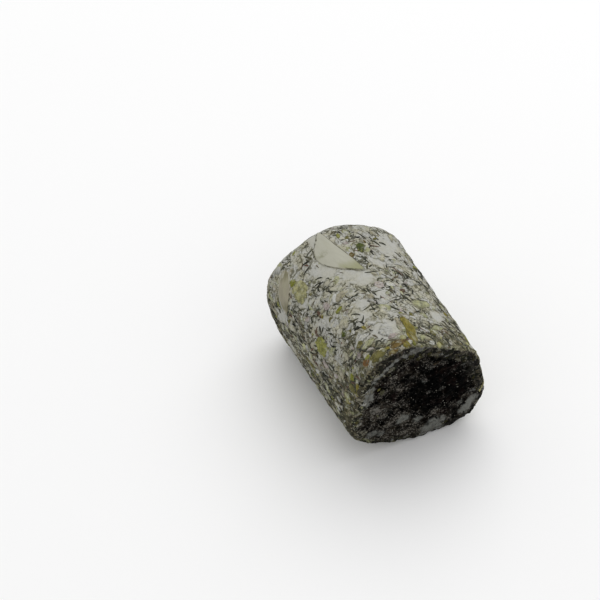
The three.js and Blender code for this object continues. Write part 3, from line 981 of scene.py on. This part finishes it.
def make_flakes():
    shapes = [scrap(corners, corners * 5 + i) for i in range(3) for corners in (5, 6, 7, 9)]
    chance = np.random.default_rng(11)
    spots = scatter(chance, 1300, (0.6, 3.0), (0.4, 0.8), (0.16, 0.26), (-0.04, 0.03))
    angle, along = spots["angle"], spots["along"]
    bare = bareness(angle, along)
    # more olive, darker tints where bare is high: less dust near the cut edge, and painted shade low on the
    # left
    weights = {
        "powder": 3.2 - 2.2 * bare, "cream": 2 - bare, "sage": 1 + 1.5 * bare,
        "blush": 0.5, "husk": 0.45 + 1.3 * bare, "olive": 0.1 + 1.8 * bare,
    }
    # tints are darker next to the crisp cut on the left, and where bare is high
    shade = 1 - 0.2 * bare - 0.34 * darkening_near_cut(angle, along)
    spots["tint"] = choose_tints(chance, len(angle), weights, 0.18) * shade[:, None]
    wanted = np.where(beside_slices(angle, along, 0.1), 1 - 0.95 * patches(DRIFTS, angle, along), 0)
    spots = pick(spots, chance.uniform(0, 1, len(angle)) < wanted)
    strew("nut_flakes", shapes, spots, place_on_skin, flake_finish("dusted_flakes", 0.3, 0.35))

    spots = scatter(chance, 260, (0.5, 1.8), (0.4, 0.8), (0.2, 0.3), (-0.01, 0.05))
    angle, along = spots["angle"], spots["along"]
    weights = {"green": 3, "lime": 2, "olive": 3, "bright": 0.6, "mustard": 2, "rust": 0.5, "skin": 0.8}
    spots["tint"] = choose_tints(chance, len(angle), weights, 0.12)
    # more green flakes where bare is high, which takes in the painted shade low on the left
    wanted = np.where(beside_slices(angle, along, 0.1), 0.25 + 0.75 * bareness(angle, along), 0)
    wanted *= 1 - patches(DRIFTS, angle, along)
    spots = pick(spots, chance.uniform(0, 1, len(angle)) < wanted)
    spots = with_marks(chance, spots, MARKS, ("angle", "along"), (0.2, 0.3), (0.02, 0.06))
    strew("green_flakes", shapes, spots, place_on_skin, flake_finish("green_flakes", 0.22, 0.25))


ALONG_AT = 12  # slivers lie along the log on this side and across from it
SLANT = math.radians(-58)  # and are turned by this much on top


def make_slivers():
    """Shreds of dark nut skin, which lie along the log on its sides and aslant on its top."""
    chance = np.random.default_rng(37)
    spots = scatter(chance, 7700, (0.5, 2.7), (0.12, 0.34), (0.14, 0.2), (0.0, 0.05))
    angle, along = spots["angle"], spots["along"]
    count = len(angle)
    spots["wide"] = np.clip(spots["wide"], 0.13, 0.32)
    spots["bow"] = chance.normal(0, 0.36, count)
    drawn = np.clip(np.cos(2 * (angle - math.radians(ALONG_AT))) + 0.3, 0, 1)
    stray = chance.normal(0, 1, count) * (0.35 + 0.5 * (1 - drawn))
    wander = 0.6 * np.sin(3 * angle + 0.4 * along) * np.cos(0.33 * along)
    spots["turn"] = SLANT * (1 - drawn) + wander + stray
    thicket = patches(THICKETS, angle, along)
    crowding = bumps(skin_point(angle, along), 3.2, 1.1, 8)
    # more slivers where the coat is bare near the cut edge, and low on the left as painted shade
    wanted = np.clip(0.38 + crowding, 0.1, 0.85) + 0.2 * bareness(angle, along) + 0.5 * thicket
    wanted = wanted * (1 - 0.95 * patches(DRIFTS, angle, along))
    used = chance.uniform(0, 1, count) < np.where(beside_slices(angle, along, -0.35), wanted, 0)
    weights = {"dark": 4.4, "dark_olive": 3, "black": 1.4 + 4 * thicket, "brown": 1.4, "red": 0.25}
    spots["tint"] = choose_tints(chance, count, weights, 0.14)
    shapes = [shred(seed) for seed in range(8)]
    strew("skin_slivers", shapes, pick(spots, used), place_on_skin, sliver_finish())


ON_CRISP_FACE = 0.64  # the share of the bits on the cut faces that lie on the crisp one
FRONT_CLEAR = 0.6  # how far in from the rim of the crisp face they begin
REAR_CLEAR = REAR_BREAK + 1
CRUMB_BAND = 1.1  # the crumbs thin out over this far on the gel
SMALL_CRUMB = 0.6  # shorter ones lie all over it


def cut_spots(chance, count, *sizes):
    """Random spots on the two cut faces. Returns them, their angles and how far from the coat they lie."""
    spots = random_sizes(chance, count, *sizes)
    front = chance.uniform(0, 1, count) < ON_CRISP_FACE
    share = front.astype(float)
    angle = chance.uniform(-math.pi, math.pi, count)
    edge = section_radius(angle, share) - np.where(front, FRONT_CLEAR, REAR_CLEAR)
    radius = edge * np.sqrt(chance.uniform(0, 1, count))
    spots.update(front=share, x=radius * np.cos(angle), z=axis_height(share) + radius * np.sin(angle))
    inside = section_radius(angle, share) - coat_thickness(angle) - radius
    return spots, angle, inside


def make_crumbs():
    """Crumbs that the knife dragged over the cut faces: thick on the coat's edge, thin on the gel."""
    chance = np.random.default_rng(53)
    spots, angle, inside = cut_spots(chance, 6500, (0.25, 1.7), (0.35, 0.85), (0.1, 0.2), (-0.02, 0.08))
    band = np.clip(1.0 - inside / CRUMB_BAND, np.where(spots["long"] < SMALL_CRUMB, 0.05, 0), 1)
    left = 1 - soaking(angle)
    weights = {
        "powder": 0.8 + left, "cream": 0.6 + left, "sage": 0.4 + left,
        "olive": 0.8, "husk": 1.0, "dark": 4.4 - 2.6 * left,
    }
    spots["tint"] = choose_tints(chance, len(angle), weights, 0.15)
    spots["tint"] *= ((0.3 + 0.35 * left) * (0.45 + 0.55 * np.clip(1 - inside / 2.5, 0, 1)))[:, None]
    deep = smeared(spots["x"], spots["z"], spots["front"] > 0.5)
    wanted = band * (0.42 + 0.33 * left) * np.clip(1.1 - 1.6 * deep, 0, 1)
    spots = pick(spots, chance.uniform(0, 1, len(angle)) < wanted)
    spots = with_marks(chance, spots, CUT_MARKS, ("x", "z"), (0.15, 0.2), (0.06, 0.1))
    shapes = [scrap(corners, corners * 7) for corners in (4, 5, 6)]
    strew("cut_crumbs", shapes, spots, place_on_cut, crumb_finish())


def make_grains():
    """Starch grains on the two cut faces."""
    chance = np.random.default_rng(5)
    form = bmesh.new()
    bmesh.ops.create_icosphere(form, subdivisions=1, radius=1)
    ball, sides = corners_of(form)
    spots, angle, inside = cut_spots(chance, 6500, (0.1, 0.3), (0.6, 1), (0.1, 0.2), (0.02, 0.04))
    front = spots["front"] > 0.5
    deep = smeared(spots["x"], spots["z"], front)
    clear = np.hypot(facing(spots["x"], front) - GRAINLESS[0], spots["z"] - GRAINLESS[1])
    wanted = 0.02 + 0.06 * np.clip(clear / 8, 0, 1.5) + 0.5 * np.clip(deep, 0, 0.6)
    spots = pick(spots, (chance.uniform(0, 1, len(angle)) < wanted) & (inside > -0.5))
    front = spots["front"][:, None] > 0.5
    middle = on_cut(spots["x"][:, None], spots["z"][:, None], front, spots["lift"][:, None])
    squash = chance.uniform(0.6, 1.3, (len(middle), 1, 3)) * spots["long"][:, None, None] / 2
    points = (middle + ball[None, :, :] * squash).reshape(-1, 3)
    mesh = copies_mesh("starch_grains", points, repeated(sides, len(ball), len(middle)))
    piece_of("starch_grains", mesh, starch_finish(), "core")


# ---- the large slices of nut

SLICE_EDGE_POINTS = 40
SLICE_RINGS = (0.93, 0.8, 0.6, 0.38, 0.18)
SLICE_PROUD = 0.16
SUNK_SLICE_PROUD = 0.03  # most are pressed in until the slivers lie across their edges
SLICE_SUNK = 0.5
SLICE_DOME = 0.12
SLICE_UNEVENNESS = {"pale": 0.025, "husk": 0.06, "chip": 0.08}  # of the outline
ROUGH_UNEVENNESS = 0.16  # of the outline, in the green kinds
SLICE_STREAKS = {"pale": 0.14, "husk": 0.34, "chip": 0.5}  # how strong they are in the smooth kinds
SLICE_DUST = {"mustard": 0.4, "moss": 0.35}  # how well it covers the green kinds
THICK_DUST = 0.75  # in the green kinds that SLICE_DUST doesn't name
FIBRE_STRETCH = 0.3
SHORT_FIBRE_STRETCH = 0.8  # in slices no longer than LONG_SLICE, which have blotches instead of streaks
LONG_SLICE = 5.5
BELLY_AT = 0.85  # how far towards the belly the rings narrow down
BRUISE_AT = (0.72, -0.06)  # widths aside and lengths ahead of the middle
BRUISE_SIZE = (1.1, 0.45)


def make_slice(number, degrees, middle, long, wide, turn, lean, tip, butt, kind):
    """A leaf-shaped slice, pressed into the coat and following it."""
    chance = np.random.default_rng(number)
    form = bmesh.new()
    bmesh.ops.create_circle(form, cap_ends=True, radius=1, segments=SLICE_EDGE_POINTS)
    thicken(form)
    lid = max(form.faces, key=lambda face: face.calc_center_median().z)
    for outer, inner in zip((1, *SLICE_RINGS), SLICE_RINGS):
        bmesh.ops.inset_region(form, faces=[lid], thickness=outer - inner, use_even_offset=True)
    bmesh.ops.recalc_face_normals(form, faces=form.faces)
    disc = np.array([vertex.co[:] for vertex in form.verts])
    mesh = mesh_of(form, f"nut_slice_{number}")

    ring = np.hypot(disc[:, 0], disc[:, 1])
    way = np.arctan2(disc[:, 0], disc[:, 1])
    wobble = chance.uniform(0, 2 * math.pi, 4)
    bulge = np.abs(np.sin(way)) ** (butt + (tip - butt) * (0.5 + 0.5 * np.cos(way)))
    uneven = np.sin(3 * way + wobble[0]) + 0.6 * np.sin(5 * way + wobble[1])
    uneven += 0.25 * np.sin(11 * way + wobble[3])
    bulge *= 1 + SLICE_UNEVENNESS.get(kind, ROUGH_UNEVENNESS) * uneven
    belly = BELLY_AT * lean * wide / 2
    u = belly + ring * (bulge * (np.sign(way) + lean) * wide / 2 - belly)
    v = np.cos(way) * (1 + 0.03 * np.sin(7 * way + wobble[2])) * ring * long / 2
    proud = SLICE_PROUD if kind == "pale" else SUNK_SLICE_PROUD
    height = np.where(disc[:, 2] > 0.5, proud + SLICE_DOME * (1 - ring**2), -SLICE_SUNK)
    aside, ahead = turned(u, v, math.radians(turn))
    set_points(mesh, above_skin(math.radians(degrees) + aside / MEAN_RADIUS, middle + ahead, height))
    across = (u - BRUISE_AT[0] * wide) / BRUISE_SIZE[0]
    along = (v - BRUISE_AT[1] * long) / BRUISE_SIZE[1]
    stretch = FIBRE_STRETCH if long > LONG_SLICE else SHORT_FIBRE_STRETCH
    fibre = np.stack([u, v * stretch, np.full(len(u), number)], axis=-1) * MM
    attach(mesh, ring=ring, tip=np.cos(way) * ring, bruise=np.exp(-(across**2) - along**2), fibre=fibre)
    if kind in SLICE_STREAKS:
        finish = pale_slice_finish(kind, SLICE_STREAKS[kind])
    else:
        finish = green_slice_finish(kind, SLICE_DUST.get(kind, THICK_DUST))
    piece_of(f"nut_slice_{number}", mesh, finish, f"pistachio_slice_{number}")


# ---- table, light and camera

CAMERA_DISTANCE = 300
CAMERA_ELEVATION = 50.0
CAMERA_AZIMUTH = -28.46
AIM_HEIGHT = 12
AIM_LENGTHWAYS = 0.7  # the aim lies this far behind the log's middle
PICTURE_WIDTH = 600
PICTURE_SCALE = 5.162  # picture points to a millimetre at the aim
PICTURE_AIM = (370.8, 338.05)  # where the aim falls in the picture
SENSOR = 36
CLIP_START = 0.01  # in metres, as are the next three
KEY_DISTANCE = 1.0
KEY_SIZE = 1.1
TABLE_HALF = 3.0
KEY_FROM = (0.4, 0.35, 1)
KEY_POWER = 5.5
SKY_STRENGTH = 0.72
TABLE_GREY = 0.9


def make_camera():
    turn, tilt = math.radians(CAMERA_AZIMUTH), math.radians(CAMERA_ELEVATION)
    back = Vector((math.sin(turn) * math.cos(tilt), -math.cos(turn) * math.cos(tilt), math.sin(tilt)))
    right = Vector((math.cos(turn), math.sin(turn), 0))
    up = back.cross(right)
    aim = Vector((0, AIM_LENGTHWAYS, AIM_HEIGHT))
    where = aim + back * CAMERA_DISTANCE
    aside = (PICTURE_AIM[0] - PICTURE_WIDTH / 2) / PICTURE_SCALE
    below = (PICTURE_AIM[1] - PICTURE_WIDTH / 2) / PICTURE_SCALE
    middle = aim - right * aside + up * below
    data = bpy.data.cameras.new("camera")
    data.sensor_width = SENSOR
    data.lens = SENSOR * CAMERA_DISTANCE * PICTURE_SCALE / PICTURE_WIDTH
    data.clip_start = CLIP_START
    camera = bpy.data.objects.new("camera", data)
    ahead = (middle - where).normalized()
    side = ahead.cross(up).normalized()
    looking = Matrix((side, side.cross(ahead), -ahead)).transposed().to_4x4()
    camera.matrix_world = Matrix.Translation(where * MM) @ looking
    bpy.context.scene.collection.objects.link(camera)
    bpy.context.scene.camera = camera


def make_light():
    """A soft square light that looks at the log."""
    data = bpy.data.lights.new("key", "AREA")
    data.size = KEY_SIZE
    data.energy = KEY_POWER
    light = bpy.data.objects.new("key", data)
    away = Vector(KEY_FROM).normalized()
    light.location = away * KEY_DISTANCE
    light.rotation_euler = away.to_track_quat("Z", "Y").to_euler()
    bpy.context.scene.collection.objects.link(light)


def make_studio():
    form = bmesh.new()
    bmesh.ops.create_grid(form, x_segments=1, y_segments=1, size=TABLE_HALF)
    mesh = mesh_of(form, "table")
    finish = Finish("pale_table", 0.9, 0.1)
    finish.shader.inputs["Base Color"].default_value = (TABLE_GREY, TABLE_GREY, TABLE_GREY, 1)
    mesh.materials.append(finish.material)
    table = bpy.data.objects.new("table", mesh)
    bpy.context.scene.collection.objects.link(table)
    world = bpy.data.worlds.new("studio")
    world.use_nodes = True
    world.node_tree.nodes["Background"].inputs["Color"].default_value = (1, 1, 1, 1)
    world.node_tree.nodes["Background"].inputs["Strength"].default_value = SKY_STRENGTH
    bpy.context.scene.world = world
    bpy.context.scene.view_settings.view_transform = "Standard"


make_coat()
make_core()
make_flakes()
make_slivers()
make_crumbs()
make_grains()
for number, entry in enumerate(SLICES, 1):
    make_slice(number, *entry)
make_studio()
make_light()
make_camera()
